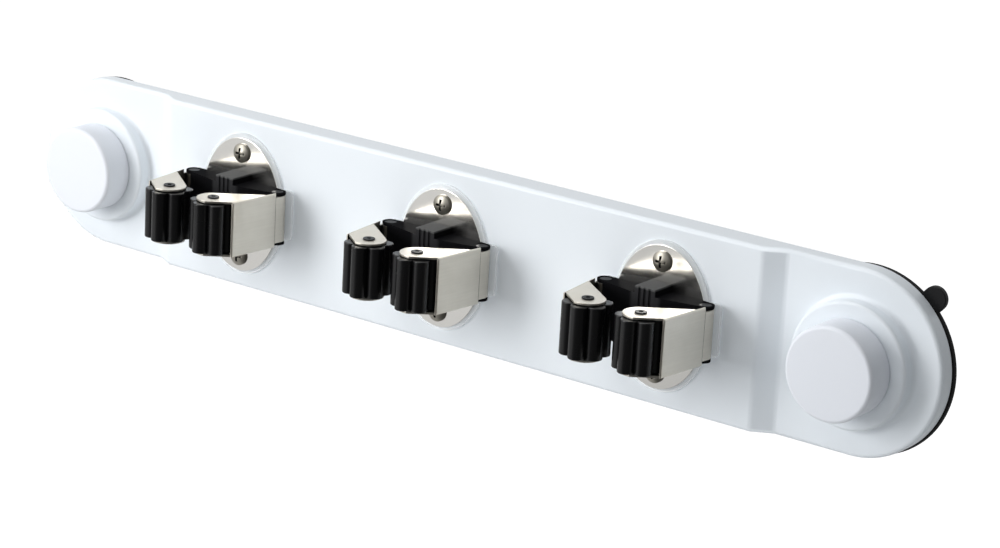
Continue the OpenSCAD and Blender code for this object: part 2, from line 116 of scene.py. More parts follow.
class Graph:
    """Adds and joins the nodes of one shader tree."""

    def __init__(self, tree: bpy.types.NodeTree) -> None:
        """Keeps and empties the tree.

        Args:
            tree: the node tree to fill.
        """
        self.tree = tree
        tree.nodes.clear()

    def add(self, kind: str, **values: object) -> bpy.types.Node:
        """Adds a node.

        Args:
            kind: the node's type.
            values: properties, or inputs where the name is one with underscores for spaces. An input is given
                its value or the output that feeds it.

        Returns:
            The new node.
        """
        node = self.tree.nodes.new(kind)
        for name, value in values.items():
            if hasattr(node, name):
                setattr(node, name, value)
            elif isinstance(value, Socket):
                self.join(value, node.inputs[name.replace("_", " ")])
            else:
                node.inputs[name.replace("_", " ")].default_value = value
        return node

    def join(self, start: Socket, end: Socket) -> None:
        """Links an output socket to an input socket.

        Args:
            start: the output.
            end: the input.
        """
        self.tree.links.new(start, end)

    def ramp(self, value: Socket, source: Pair, target: Pair = (0.0, 1.0)) -> Socket:
        """Maps a value from one range to another and keeps it inside.

        Args:
            value: the value.
            source: the range that it comes from.
            target: the range that it goes to.

        Returns:
            The mapped value.
        """
        node = self.add("ShaderNodeMapRange", Value=value, From_Min=source[0], From_Max=source[1],
                        To_Min=target[0], To_Max=target[1])
        return node.outputs["Result"]

    def coordinate(self, kind: str, axis: str) -> Socket:
        """One coordinate of the shaded point.

        Args:
            kind: Object for its place, or Normal for the way its face looks.
            axis: X, Y or Z.

        Returns:
            The coordinate.
        """
        place = self.add("ShaderNodeTexCoord")
        split = self.add("ShaderNodeSeparateXYZ", Vector=place.outputs[kind])
        return split.outputs[axis]


class Effects:
    """Shader groups that several finishes share. Each one is built once."""

    CLOUDS = 26.0
    SMUDGES = 110.0

    @staticmethod
    def _open(name: str, inputs: Sequence[str], outputs: Sequence[str]) -> tuple[Graph, bpy.types.Node]:
        """Starts a group with its sockets.

        Args:
            name: the group's name.
            inputs: names of its number inputs.
            outputs: names of its number outputs.

        Returns:
            The group's graph and the node with its inputs.
        """
        tree = bpy.data.node_groups.new(name, "ShaderNodeTree")
        for way, labels in (("INPUT", inputs), ("OUTPUT", outputs)):
            for label in labels:
                tree.interface.new_socket(label, in_out=way, socket_type="NodeSocketFloat")
        graph = Graph(tree)
        return graph, graph.add("NodeGroupInput")

    @classmethod
    @cache
    def mould_grain(cls) -> bpy.types.NodeTree:
        """Fine moulded skin with slow clouds.

        Returns:
            A group with a Scale input, a Height for bumps and a Clouds mask.
        """
        graph, start = cls._open("mould_grain", ["Scale"], ["Height", "Clouds"])
        place = graph.add("ShaderNodeTexCoord").outputs["Object"]
        fine = graph.add("ShaderNodeTexNoise", Vector=place, Scale=start.outputs["Scale"], Detail=3.0,
                         Roughness=0.6)
        slow = graph.add("ShaderNodeTexNoise", Vector=place, Scale=cls.CLOUDS, Detail=2.0, Roughness=0.5)
        graph.add("NodeGroupOutput", Height=fine.outputs["Fac"], Clouds=slow.outputs["Fac"])
        return graph.tree

    @classmethod
    @cache
    def polish_lines(cls) -> bpy.types.NodeTree:
        """Fine lines that polishing leaves along the sheet, with soft smudges.

        Returns:
            A group with an Along and an Across scale, a Lines value and a Smudge mask.
        """
        graph, start = cls._open("polish_lines", ["Along", "Across"], ["Lines", "Smudge"])
        place = graph.add("ShaderNodeTexCoord").outputs["Object"]
        along, across = start.outputs["Along"], start.outputs["Across"]
        stretch = graph.add("ShaderNodeCombineXYZ", X=along, Y=along, Z=across)
        spread = graph.add("ShaderNodeVectorMath", operation="MULTIPLY", Vector=place)
        graph.join(stretch.outputs["Vector"], spread.inputs[1])
        lines = graph.add("ShaderNodeTexNoise", Vector=spread.outputs["Vector"], Scale=1.0, Detail=2.0,
                          Roughness=0.55)
        smudge = graph.add("ShaderNodeTexNoise", Vector=place, Scale=cls.SMUDGES, Detail=3.0, Roughness=0.6)
        graph.add("NodeGroupOutput", Lines=lines.outputs["Fac"], Smudge=smudge.outputs["Fac"])
        return graph.tree


class Paint(Graph):
    """The graph of one material, with the shader that it feeds."""

    def __init__(self, name: str) -> None:
        """Makes an empty material.

        Args:
            name: its name.
        """
        self.material = bpy.data.materials.new(name)
        self.material.use_nodes = True
        super().__init__(self.material.node_tree)
        self.shader = self.add("ShaderNodeBsdfPrincipled")
        self.add("ShaderNodeOutputMaterial", Surface=self.shader.outputs["BSDF"])

    @property
    def colour(self) -> Socket:
        """What feeds the shader's colour."""
        return self.shader.inputs["Base Color"].links[0].from_socket

    def feed(self, name: str, value: Socket) -> None:
        """Joins a value to one of the shader's inputs.

        Args:
            name: the input's name.
            value: the value.
        """
        self.join(value, self.shader.inputs[name])

    def bump(self, height: Socket, depth: float) -> None:
        """Feeds a height to the shader's normal.

        Args:
            height: a value over the surface.
            depth: the height of a full bump in metres.
        """
        relief = self.add("ShaderNodeBump", Strength=1.0, Distance=depth, Height=height)
        self.feed("Normal", relief.outputs["Normal"])

    def lay(self, cover: Socket, colour: Point) -> None:
        """Lays a colour over the present one.

        Args:
            cover: a value from 0 to 1 that says how much of it shows.
            colour: the colour.
        """
        tone = self.add("ShaderNodeMix", data_type="RGBA", Factor=cover, A=self.colour, B=(*colour, 1.0))
        self.feed("Base Color", tone.outputs["Result"])


@dataclass(frozen=True)
class Finish:
    """What every finish of the rack has in common."""

    name: str
    slot: str
    light: Point
    dark: Point
    smooth: float
    rough: float

    def material(self) -> bpy.types.Material:
        """The finish as a material, made at its first use.

        Returns:
            The material.
        """
        found = bpy.data.materials.get(self.name)
        if found:
            return found
        paint = Paint(self.name)
        self.coat(paint)
        self.extras(paint)
        return paint.material

    def spread(self, paint: Paint, mask: Socket) -> None:
        """Lets a mask move the colour between its two tones and the roughness between its two ends.

        Args:
            paint: the material that is fed.
            mask: a value from 0 to 1 over the surface.
        """
        tone = paint.add("ShaderNodeMix", data_type="RGBA", Factor=mask, A=(*self.light, 1.0),
                         B=(*self.dark, 1.0))
        paint.feed("Base Color", tone.outputs["Result"])
        paint.feed("Roughness", paint.ramp(mask, MASK_SPAN, (self.smooth, self.rough)))

    def coat(self, paint: Paint) -> None:
        """Gives the material its skin.

        Args:
            paint: the material that is fed.
        """
        raise NotImplementedError

    def extras(self, paint: Paint) -> None:
        """Adds what only some finishes have.

        Args:
            paint: the material that is fed.
        """


@dataclass(frozen=True)
class Moulded(Finish):
    """Plastic or rubber from a mould."""

    grain: float = 900.0
    depth: float = 4e-6
    specular: float = 0.5

    def coat(self, paint: Paint) -> None:
        """Gives a moulded skin with clouds in its tone and gloss.

        Args:
            paint: the material that is fed.
        """
        skin = paint.add("ShaderNodeGroup", node_tree=Effects.mould_grain(), Scale=self.grain)
        self.spread(paint, skin.outputs["Clouds"])
        paint.bump(skin.outputs["Height"], self.depth)
        paint.shader.inputs["Specular IOR Level"].default_value = self.specular


@dataclass(frozen=True)
class Clear(Moulded):
    """Clear plastic that is seen through, with a painted glow that stands in for light gathered from the white
    behind it.
    """

    face: float = 0.4
    rim: float = 0.3
    facing: Pair = (0.2, 0.95)
    # Strength of the painted glow: emission that stands in for light the clear plastic gathers
    gathered: float = 0.2

    def extras(self, paint: Paint) -> None:
        """Lets the opacity follow the way a face looks, and adds the painted glow.

        Args:
            paint: the material that is fed.
        """
        front = paint.add("ShaderNodeMath", operation="ABSOLUTE", Value=paint.coordinate("Normal", "Y"))
        paint.feed("Alpha", paint.ramp(front.outputs["Value"], self.facing, (self.rim, self.face)))
        # Painted glow in the plastic's own colour, though the pad is no lamp
        paint.feed("Emission Color", paint.colour)
        paint.shader.inputs["Emission Strength"].default_value = self.gathered


@dataclass(frozen=True)
class Dusted(Moulded):
    """Black plastic with painted light that makes it grey at its front, and a pale painted sheen on what
    stands out at the top.
    """

    # Painted light: a grey tone on the front faces, where the light falls
    worn: Point = (0.034, 0.034, 0.036)
    worn_span: Pair = (-0.0303, -0.0307)
    # Painted sheen: a pale tone on the top of the spine that stands in for its reflection
    dust: Point = (0.125, 0.126, 0.125)
    dust_span: Pair = (0.0144, 0.0152)

    def extras(self, paint: Paint) -> None:
        """Lays the painted light over the colour from a depth on, and the painted sheen from a height on.

        Args:
            paint: the material that is fed.
        """
        # Painted light on the front and painted sheen on the top, by depth and height
        for axis, span, colour in (("Y", self.worn_span, self.worn), ("Z", self.dust_span, self.dust)):
            paint.lay(paint.ramp(paint.coordinate("Object", axis), span), colour)


@dataclass(frozen=True)
class Polished(Finish):
    """Bright metal with fine polishing lines."""

    along: float = 60.0
    across: float = 1800.0
    depth: float = 1e-6
    smudged: float = 0.5

    def coat(self, paint: Paint) -> None:
        """Gives a metal whose gloss follows its polishing lines and smudges.

        Args:
            paint: the material that is fed.
        """
        lines = paint.add("ShaderNodeGroup", node_tree=Effects.polish_lines(), Along=self.along,
                          Across=self.across)
        blend = paint.add("ShaderNodeMix", data_type="FLOAT", Factor=self.smudged, A=lines.outputs["Lines"],
                          B=lines.outputs["Smudge"])
        self.spread(paint, blend.outputs["Result"])
        paint.bump(lines.outputs["Lines"], self.depth)
        paint.shader.inputs["Metallic"].default_value = 1.0


@dataclass(frozen=True)
class Recessed(Polished):
    """Metal with painted shade in its recesses, from its own shape alone or also from other pieces beside it.
    """

    reach: float = 0.0016
    # Colour of the painted shade in recesses and beside other pieces
    grime: Point = (0.012, 0.011, 0.01)
    closed: float = 0.45
    opened: float = 0.85
    alone: bool = True

    def extras(self, paint: Paint) -> None:
        """Paints shade into the colour where the surface is closed in.

        Args:
            paint: the material that is fed.
        """
        # Painted shade: the colour darkens where occlusion finds the surface closed in
        around = paint.add("ShaderNodeAmbientOcclusion", samples=8, only_local=self.alone,
                           Distance=self.reach)
        paint.lay(paint.ramp(around.outputs["AO"], (self.closed, self.opened), (1.0, 0.0)), self.grime)


PANEL_WHITE = Moulded(
    "panel_white", "white_plastic", (0.83, 0.876, 0.918), (0.822, 0.868, 0.91), 0.36, 0.39,
    grain=420.0, depth=2e-6, specular=0.3)
KNOB_WHITE = Moulded(
    "knob_white", "knob_plastic", (0.815, 0.842, 0.895), (0.807, 0.834, 0.887), 0.36, 0.4,
    grain=600.0, depth=2e-6, specular=0.3)
CUP_RUBBER = Moulded(
    "cup_rubber", "black_rubber", (0.008, 0.008, 0.009), (0.013, 0.013, 0.014), 0.45, 0.55,
    grain=1500.0, depth=8e-6, specular=0.12)
CORE_BLACK = Dusted(
    "core_black", "black_plastic", (0.006, 0.006, 0.007), (0.009, 0.009, 0.01), 0.36, 0.46,
    grain=1400.0, depth=6e-6, specular=0.001)
ROLLER_BLACK = Moulded(
    "roller_black", "black_roller", (0.0025, 0.0025, 0.003), (0.004, 0.004, 0.0045), 0.24, 0.3,
    grain=1600.0, depth=2e-6, specular=0.36)
PIN_BLACK = Moulded(
    "pin_black", "pin_steel", (0.018, 0.018, 0.019), (0.03, 0.03, 0.031), 0.3, 0.4,
    grain=1200.0, depth=3e-6, specular=0.08)
PAD_CLEAR = Clear(
    "pad_clear", "clear_plastic", (0.93, 0.95, 0.96), (0.9, 0.925, 0.935), 0.08, 0.14,
    grain=700.0, depth=1e-6)
PLATE_STEEL = Polished(
    "plate_steel", "mirror_steel", (0.86, 0.845, 0.81), (0.81, 0.795, 0.76), 0.12, 0.17,
    along=40.0, across=900.0, depth=4e-7)
# Satin arm steel with painted shade in its inner corners and at its knuckle, where other pieces stand close
ARM_STEEL = Recessed(
    "arm_satin", "arm_steel", (0.74, 0.7, 0.62), (0.62, 0.585, 0.515), 0.34, 0.46,
    along=50.0, across=1500.0, depth=1.5e-6,
    reach=0.005, grime=(0.14, 0.14, 0.13), closed=0.35, opened=0.95, alone=False)
# Screw plating with painted shade in its cross recesses and at the head's foot
SCREW_STEEL = Recessed(
    "screw_plating", "screw_steel", (0.4, 0.38, 0.33), (0.27, 0.255, 0.22), 0.34, 0.46,
    along=300.0, across=900.0)
ZINC_STEEL = Polished(
    "zinc_plating", "zinc_steel", (0.66, 0.67, 0.68), (0.55, 0.56, 0.58), 0.25, 0.4,
    along=300.0, across=700.0)
NUT_BRASS = Polished(
    "nut_brass", "brass_nut", (0.75, 0.58, 0.27), (0.62, 0.46, 0.2), 0.2, 0.35,
    along=300.0, across=900.0)
SPRING_WIRE = Polished(
    "spring_wire", "spring_steel", (0.46, 0.47, 0.48), (0.34, 0.35, 0.36), 0.2, 0.35,
    along=900.0, across=900.0)


def crease(edge: bmesh.types.BMEdge, degrees: float = SHARP) -> bool:
    """Whether the faces at an edge turn by more than some degrees.

    Args:
        edge: the edge.
        degrees: the least turn.

    Returns:
        True where they do.
    """
    return edge.calc_face_angle() > math.radians(degrees)


def on_circle(x: float, radius: float, depth: float) -> Picker:
    """A test for the edges of one circle about an axis that stands out from the wall.

    Args:
        x: the place of the axis along the rack.
        radius: the circle's radius.
        depth: its distance from the wall.

    Returns:
        The test.
    """
    return lambda edge: all(abs(math.hypot(vert.co.x - x, vert.co.z) - radius) < LOOSE
                            and abs(vert.co.y + depth) < LOOSE for vert in edge.verts)


def corners(items: Sequence[object]) -> list[bmesh.types.BMVert]:
    """Picks the corners out of some elements of a mesh.

    Args:
        items: corners, edges and faces.

    Returns:
        The corners.
    """
    return [item for item in items if isinstance(item, bmesh.types.BMVert)]


class Shape:
    """A mesh that grows by operators, in millimetres where it isn't a copy, and becomes one piece."""

    def __init__(self) -> None:
        """Starts with an empty mesh."""
        self.bm = bmesh.new()

    def chain(self, points: Sequence[Point], closed: bool) -> list:
        """Draws a line through points.

        Args:
            points: its corners.
            closed: whether the last corner joins the first.

        Returns:
            The new corners and edges.
        """
        verts = [self.bm.verts.new(point) for point in points]
        pairs = list(zip(verts, verts[1:])) + ([(verts[-1], verts[0])] if closed else [])
        return verts + [self.bm.edges.new(pair) for pair in pairs]

    def turn(self, profile: Sequence[Pair], centre: Point, axis: Axis, closed: bool = True,
             steps: int = 72) -> None:
        """Turns a profile right round an axis.

        Args:
            profile: pairs of radius and height, where a height is a depth on the wall's axis.
            centre: a point on the axis.
            axis: the axis.
            closed: whether the profile is a ring. An open one starts and ends on the axis.
            steps: the number of steps round.
        """
        x, y, z = centre
        if axis is Axis.WALL:
            points = [(x + radius, -height, z) for radius, height in profile]
        else:
            points = [(x + radius, y, z + height) for radius, height in profile]
        bmesh.ops.spin(self.bm, geom=self.chain(points, closed), cent=centre, axis=axis.value,
                       dvec=(0.0, 0.0, 0.0), angle=2.0 * math.pi, steps=steps, use_merge=True)
        bmesh.ops.remove_doubles(self.bm, verts=self.bm.verts[:], dist=TIGHT)

    def block(self, low: Point, high: Point) -> None:
        """Adds a block between two corners.

        Args:
            low: its lowest corner.
            high: its highest corner.
        """
        size = Vector(high) - Vector(low)
        place = Matrix.Translation((Vector(low) + Vector(high)) / 2.0) @ Matrix.Diagonal((*size, 1.0))
        bmesh.ops.create_cube(self.bm, size=1.0, matrix=place)

    def soften(self, chosen: Picker, width: float, steps: int) -> None:
        """Rounds some edges.

        Args:
            chosen: says whether an edge is rounded.
            width: the width of the rounding on each face.
            steps: the number of strips in it.
        """
        self.bm.normal_update()
        edges = [edge for edge in self.bm.edges if edge.is_manifold and chosen(edge)]
        bmesh.ops.bevel(self.bm, geom=edges, offset=width, offset_type="OFFSET", segments=steps, profile=0.5,
                        affect="EDGES", clamp_overlap=True, material=-1)

    def move(self, matrix: Matrix) -> None:
        """Moves the whole mesh.

        Args:
            matrix: the move.
        """
        bmesh.ops.transform(self.bm, matrix=matrix, verts=self.bm.verts[:])

    def absorb(self, other: Shape) -> None:
        """Adds another mesh and frees it.

        Args:
            other: the mesh that is added.
        """
        carrier = bpy.data.meshes.new("carrier")
        other.bm.to_mesh(carrier)
        other.bm.free()
        self.bm.from_mesh(carrier)
        bpy.data.meshes.remove(carrier)

    def piece(self, name: str, finish: Finish, body: str | None, node: str, sharp: float = BREAK,
              unit: float = MM) -> bpy.types.Object:
        """Makes the mesh a shaded piece that stands for a node, and frees it.

        Args:
            name: the piece's name.
            finish: its finish.
            body: the body that it rides on, or None where it rides on none.
            node: the node that it stands for.
            sharp: the angle in degrees over which an edge stays sharp.
            unit: what one unit of the mesh is in metres.

        Returns:
            The piece.
        """
        bmesh.ops.scale(self.bm, vec=(unit, unit, unit), verts=self.bm.verts[:])
        bmesh.ops.recalc_face_normals(self.bm, faces=self.bm.faces[:])
        mesh = bpy.data.meshes.new(name)
        self.bm.to_mesh(mesh)
        self.bm.free()
        mesh.shade_smooth()
        mesh.set_sharp_from_angle(angle=math.radians(sharp))
        made = bpy.data.objects.new(name, mesh)
        bpy.context.scene.collection.objects.link(made)
        made.data.materials.append(finish.material())
        even = made.modifiers.new("even_shading", "WEIGHTED_NORMAL")
        even.keep_sharp = True
        even.weight = FACE_WEIGHT
        if body:
            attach(made, body)
        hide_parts(node)
        LOG.info("piece %s with %d faces", name, len(mesh.polygons))
        return made


def softened(node: str, finish: Finish, body: str, width: float, steps: int = 2) -> None:
    """Copies a node's solid and rounds its sharp edges.

    Args:
        node: the node.
        finish: the copy's finish.
        body: the body that it rides on.
        width: the width of the rounding in millimetres.
        steps: the number of strips in it.
    """
    same_point, same_plane = 2e-6, math.radians(0.6)
    shape = Shape()
    bm = shape.bm
    bm.from_mesh(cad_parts[node].data)
    bmesh.ops.remove_doubles(bm, verts=bm.verts[:], dist=same_point)
    bmesh.ops.dissolve_limit(bm, angle_limit=same_plane, verts=bm.verts[:], edges=bm.edges[:])
    shape.soften(lambda edge: crease(edge, BREAK), width * MM, steps)
    shape.piece(node + "_soft", finish, body, node, unit=1.0)


def dress(node: str, finish: Finish) -> None:
    """Gives a node that stays as it is its finish.

    Args:
        node: the node.
        finish: its finish.
    """
    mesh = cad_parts[node].data
    mesh.materials.clear()
    mesh.materials.append(finish.material())
    LOG.info("node %s keeps its solid", node)


@dataclass
class Panel:
    """The long moulded panel with its raised middle, its ribs and the two bosses."""

    half_height: float = 40.0
    back: float = 3.5
    end_front: float = 11.0
    middle_front: float = 16.25
    middle_x: float = 161.0
    ramp_x: float = 170.0
    wall: float = 2.5
    rim_round: float = 2.0
    ramp_round: float = 1.3
    boss_radius: float = 27.0
    boss_front: float = 17.8
    boss_round: float = 1.5
    boss_foot: float = 2.0
    boss_hem: float = 1.0
    boss_proud: float = 0.01
    boss_sunk: float = 1.5
    stud_hole: float = 4.4
    rib: float = 1.6
    rib_pitch: float = CLIP_PITCH / 3.0
    rib_pairs: int = 4
    rib_recess: float = 0.5
    post: Pair = (1.73, 3.8)
    ring_radius: float = 32.8
    ring_sunk: float = 1.2
    screw_pitch: float = 48.6
    shape: Shape = field(default_factory=Shape)

    def shell(self) -> None:
        """Sweeps the half section round the right end, along the rack and round the left end."""
        front, inner = self.end_front, self.end_front - self.wall
        high = self.half_height
        half = [(END_X, -depth, z) for depth, z in (
            (inner, 0.0), (inner, high - self.wall), (self.back, high - self.wall), (self.back, high),
            (front, high), (front, 0.0))]
        bm = self.shape.bm
        start = self.shape.chain(half, closed=False)
        self.round_end(start, Side.RIGHT)
        lift = self.middle_front - self.end_front
        stations = ((self.ramp_x, 0.0), (self.middle_x, lift), (-self.middle_x, 0.0), (-self.ramp_x, -lift),
                    (-END_X, 0.0))
        x = END_X
        for station, rise in stations:
            edges = [edge for edge in bm.edges if all(abs(vert.co.x - x) < NEAR for vert in edge.verts)]
            verts = corners(bmesh.ops.extrude_edge_only(bm, edges=edges)["geom"])
            bmesh.ops.translate(bm, verts=verts, vec=(station - x, 0.0, 0.0))
            raised = [vert for vert in verts if vert.co.y < -self.back - LOOSE]
            bmesh.ops.translate(bm, verts=raised, vec=(0.0, -rise, 0.0))
            x = station
        upper = [edge for edge in bm.edges
                 if all(abs(vert.co.x + END_X) < NEAR and vert.co.z > -NEAR for vert in edge.verts)]
        ends = list(dict.fromkeys(vert for edge in upper for vert in edge.verts))
        self.round_end(ends + upper, Side.LEFT)

    def round_end(self, start: list, side: Side) -> None:
        """Turns the half section round one end.

        Args:
            start: corners and edges of the half section.
            side: the end's side.
        """
        bm = self.shape.bm
        bmesh.ops.spin(bm, geom=start, cent=(side.value * END_X, 0.0, 0.0), axis=Axis.WALL.value,
                       dvec=(0.0, 0.0, 0.0), angle=side.value * math.pi, steps=64, use_merge=False)
        bmesh.ops.remove_doubles(bm, verts=bm.verts[:], dist=NEAR)

    def round_edges(self) -> None:
        """Softens the front rim, then the ramps' edges."""
        margin = 0.1
        rim, foot = margin - self.end_front, margin + self.rim_round - self.end_front
        self.shape.soften(lambda edge: crease(edge) and all(vert.co.y < rim for vert in edge.verts),
                          self.rim_round, steps=6)
        self.shape.soften(lambda edge: abs(edge.verts[0].co.x - edge.verts[1].co.x) < NEAR and all(
            min(abs(abs(vert.co.x) - self.ramp_x), abs(abs(vert.co.x) - self.middle_x)) < NEAR
            and vert.co.y < foot for vert in edge.verts), self.ramp_round, steps=4)

    def bosses(self) -> None:
        """Adds the two bosses with their rounded foot and edge."""
        radius, front = self.boss_radius, self.boss_front
        foot = radius + self.boss_foot + self.boss_hem
        plate = self.end_front + self.boss_proud
        sunk, inner = plate - self.boss_sunk, front - self.wall
        hole, hollow = self.stud_hole, radius - self.wall
        ring = [(foot, plate), (radius, plate), (radius, front), (hole, front), (hole, inner),
                (hollow, inner), (hollow, sunk), (foot, sunk)]
        for side in Side:
            x = side.value * END_X
            boss = Shape()
            boss.turn(ring, (x, 0.0, 0.0), Axis.WALL, steps=96)
            boss.soften(on_circle(x, radius, plate), self.boss_foot, steps=6)
            boss.soften(on_circle(x, radius, front), self.boss_round, steps=5)
            self.shape.absorb(boss)

    def back_ribs(self) -> None:
        """Adds the ribs, the screw posts and the rings behind the panel."""
        deep, shallow = -self.middle_front + self.wall / 2.0, -self.back - self.rib_recess
        reach, half = self.half_height - self.wall / 2.0, self.rib / 2.0
        for step in range(-self.rib_pairs, self.rib_pairs):
            x = (step + 0.5) * self.rib_pitch
            self.shape.block((x - half, deep, -reach), (x + half, shallow, reach))
        self.shape.block((-self.middle_x, deep, -half), (self.middle_x, shallow, half))
        bore, skin = self.post
        for clip in (-1, 0, 1):
            for row in (-0.5, 0.5):
                self.shape.turn([(bore, -shallow), (skin, -shallow), (skin, -deep), (bore, -deep)],
                                (clip * CLIP_PITCH, 0.0, row * self.screw_pitch), Axis.WALL, steps=32)
        inside, sunk = self.ring_radius - self.rib, self.end_front - self.ring_sunk
        for side in Side:
            self.shape.turn([(inside, self.back), (self.ring_radius, self.back), (self.ring_radius, sunk),
                             (inside, sunk)], (side.value * END_X, 0.0, 0.0), Axis.WALL)

    def build(self) -> None:
        """Models the panel as one piece."""
        self.shell()
        self.round_edges()
        self.bosses()
        self.back_ribs()
        self.shape.piece("panel_moulding", PANEL_WHITE, "rack", "panel")


@dataclass
class SuctionEnd:
    """The knob, the rubber cup and the hidden fastening at one end."""

    side: Side
    knob_radius: float = 20.2
    knob_back: float = 18.1
    knob_front: float = 32.9
    knob_wall: float = 2.0
    knob_inside: float = 30.5
    knob_crown: float = 0.3
    crown_shares: tuple[Pair, ...] = ((0.35, 0.12), (0.7, 0.49), (1.0, 1.0))
    knob_round: float = 1.7
    knob_foot_round: float = 0.3
    sleeve: Pair = (9.9, 7.62)
    sleeve_back: float = 18.83
    cup_radius: float = 40.1
    cup_rim: Pair = (1.2, 1.9)
    cup_slope: float = 0.6
    cup_round: float = 0.5
    cup_shift: Pair = (0.85, -0.3)
    lip: Pair = (36.2, 39.2)
    cup_front: float = 3.2
    cup_hollow: float = 1.4
    hub_radius: float = 14.0
    hub_front: float = 7.4
    tab_reach: float = 48.0
    tab_half: float = 5.25
    tab_nose: float = 5.23
    tab_round: float = 0.45
    tab_depths: Pair = (0.6, 3.2)
    tab_angle: float = 48.0

    @property
    def centre(self) -> Point:
        """The end's axis where it meets the wall."""
        return (self.side.value * END_X, 0.0, 0.0)

    def knob(self) -> None:
        """Turns the cap knob, with a slight crown and a rounded edge."""
        radius, back, inside = self.knob_radius, self.knob_back, self.knob_inside
        hollow = radius - self.knob_wall
        outer, inner = self.sleeve
        crown = [(radius * share, self.knob_front - self.knob_crown * drop)
                 for share, drop in self.crown_shares]
        shape = Shape()
        shape.turn([(0.0, self.knob_front), *crown, (radius, back), (hollow, back), (hollow, inside),
                    (outer, inside), (outer, self.sleeve_back), (inner, self.sleeve_back), (inner, inside),
                    (0.0, inside)], self.centre, Axis.WALL, closed=False, steps=96)
        shape.soften(on_circle(self.centre[0], *crown[-1]), self.knob_round, steps=6)
        shape.soften(lambda edge: crease(edge) and all(abs(vert.co.y + back) < LOOSE for vert in edge.verts),
                     self.knob_foot_round, steps=2)
        word = self.side.word
        shape.piece(f"{word}_knob_cap", KNOB_WHITE, f"{word}_knob_body", f"{word}_knob")

    def cup(self) -> None:
        """Turns the rubber cup a little off its stud and adds its pull tab."""
        shape = Shape()
        inner, outer = self.lip
        radius, hub, front = self.cup_radius, self.hub_radius, self.cup_front
        low, high = self.cup_rim
        shape.turn([(0.0, self.cup_hollow), (hub, self.cup_hollow), (inner, 0.0), (outer, 0.0), (radius, low),
                    (radius, high), (radius - self.cup_slope, front), (hub, front), (hub, self.hub_front),
                    (0.0, self.hub_front)], self.centre, Axis.WALL, closed=False, steps=96)
        shape.soften(crease, self.cup_round, steps=3)
        across, up = self.cup_shift
        shape.move(Matrix.Translation((across, 0.0, up)))
        tab = Shape()
        near, far = self.tab_depths
        tab.block((inner, -far, -self.tab_half), (self.tab_reach, -near, self.tab_half))
        tab.soften(lambda edge: all(vert.co.x > self.tab_reach - NEAR for vert in edge.verts)
                   and abs(edge.verts[0].co.y - edge.verts[1].co.y) > NEAR, self.tab_nose, steps=12)
        tab.soften(crease, self.tab_round, steps=3)
        tab.move(Matrix.Translation(self.centre) @ Matrix.Rotation(math.radians(-self.tab_angle), 4, "Y"))
        shape.absorb(tab)
        made = shape.piece(f"{self.side.word}_rubber_cup", CUP_RUBBER, None, f"{self.side.word}_suction_cup")
        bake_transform(made)

    def build(self) -> None:
        """Models the end's pieces and dresses the hidden ones."""
        self.knob()
        self.cup()
        for what, finish in (("cup_stud", ZINC_STEEL), ("knob_nut", NUT_BRASS), ("knob_washer", ZINC_STEEL)):
            dress(f"{self.side.word}_{what}", finish)


@dataclass
class ArmSizes:
    """Sizes of a sprung arm in its own frame: the hinge is its origin and the web runs along -Y."""

    hinge_x: float = 25.0
    hinge_depth: float = 22.9
    toe: float = 6.5
    web: Pair = (2.8, 3.8)
    web_length: float = 30.6
    web_start: float = 4.1
    tail_lap: float = 0.4
    half_height: float = 12.7
    knuckle: Pair = (2.65, 3.65)
    knuckle_half: float = 10.7
    pin_at: Pair = (-8.4, -31.2)
    flange_radius: float = 7.6
    flange_start: float = 9.6
    flange_cut: float = 6.9
    flange_lap: float = 0.05
    lug: Pair = (-9.5, -0.9)
    lug_in: float = 2.5
    lug_half: float = 4.5
    bend: float = 0.85
    edge: float = 0.16

    @property
    def sheet(self) -> float:
        """The thickness of the sheet."""
        return self.web[1] - self.web[0]

    def placed(self, clip_x: float, side: Side) -> Matrix:
        """The matrix from an arm's own frame, without its toe, to the rack.

        Args:
            clip_x: the clip's place along the rack.
            side: the arm's side, where the left one is mirrored.

        Returns:
            The matrix.
        """
        mirror = Matrix.Diagonal((float(side.value), 1.0, 1.0, 1.0))
        return Matrix.Translation((clip_x, 0.0, 0.0)) @ mirror @ Matrix.Translation(
            (self.hinge_x, -self.hinge_depth, 0.0))

    @property
    def turned(self) -> Matrix:
        """The arm's lean towards the middle of its clip."""
        return Matrix.Rotation(math.radians(-self.toe), 4, "Z")


@dataclass
class RollerSizes:
    """Sizes of a fluted roller."""

    radius: float = 10.7
    lobes: int = 6
    overlap: float = 1.1
    half_height: float = 11.4
    edge: float = 0.45

    @property
    def lobe(self) -> float:
        """The radius of one lobe."""
        share = self.overlap * math.sin(math.pi / self.lobes)
        return self.radius * share / (1.0 + share)

    def outline(self, shape: Shape) -> None:
        """Draws the fluted outline by turning a corner round one lobe after the other.

        Args:
            shape: the mesh that grows.
        """
        at, step = self.radius - self.lobe, math.pi / self.lobes
        half_chord = at * math.sin(step)
        groove = at * math.cos(step) + math.sqrt(self.lobe ** 2 - half_chord ** 2)
        turn = math.atan2(groove * math.sin(step), groove * math.cos(step) - at)
        corner = shape.bm.verts.new((groove * math.cos(-step), groove * math.sin(-step), -self.half_height))
        for count in range(self.lobes):
            way = 2.0 * step * count
            made = bmesh.ops.spin(shape.bm, geom=[corner], axis=Axis.UPRIGHT.value, dvec=(0.0, 0.0, 0.0),
                                  cent=(at * math.cos(way), at * math.sin(way), 0.0), angle=2.0 * turn,
                                  steps=10)
            corner = corners(made["geom_last"])[0]
        bmesh.ops.remove_doubles(shape.bm, verts=shape.bm.verts[:], dist=NEAR)


